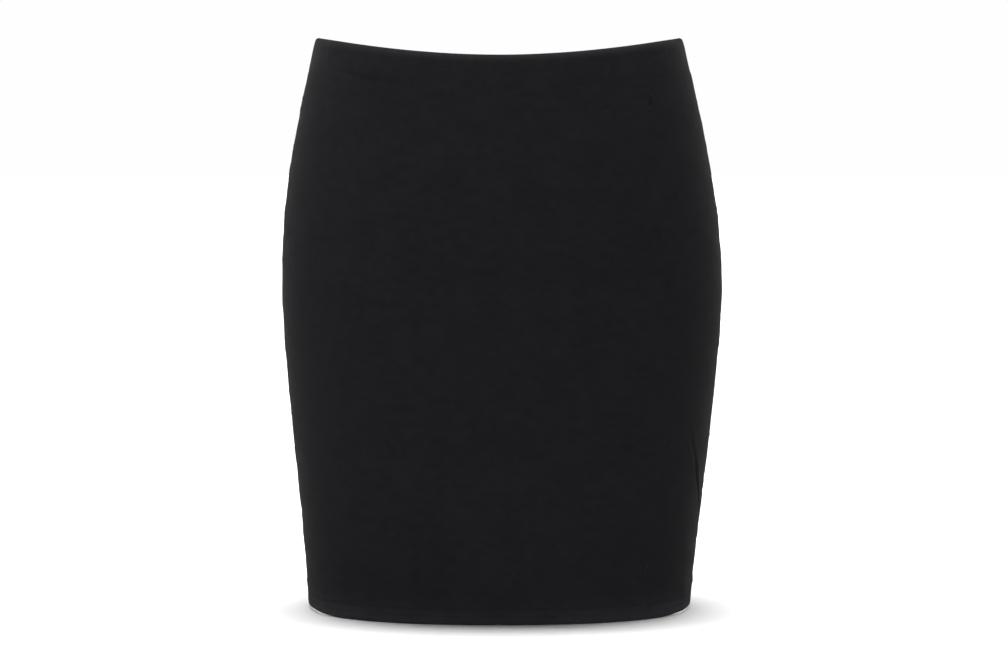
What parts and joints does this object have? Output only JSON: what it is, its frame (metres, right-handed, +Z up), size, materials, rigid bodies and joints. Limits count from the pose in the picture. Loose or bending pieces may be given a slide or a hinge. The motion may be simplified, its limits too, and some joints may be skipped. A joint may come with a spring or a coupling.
{
  "type": "pencil skirt",
  "caption": "Short stretch pencil skirt, filled out and hollow, close at the waist, rounded over the hips and narrower at a level hem, with a plain elastic waistband.",
  "frame": {"origin": "the middle of the waist, level with the top of the side seams, where the wearer's waist holds the skirt", "axes": "+Z up, towards the waist; the front faces -Y; +X is the viewer's right from the front"},
  "size_m": [0.3396, 0.2375, 0.4388],
  "materials": {
    "knit_cloth": "matt black double knit with a faint soft sheen where it turns away",
    "waistband_cloth": "matt black double knit over elastic"
  },
  "bodies": {
    "root": {"front_panel": "knit_cloth", "back_panel": "knit_cloth", "waistband_front": "waistband_cloth", "waistband_back": "waistband_cloth"}
  },
  "joints": []
}
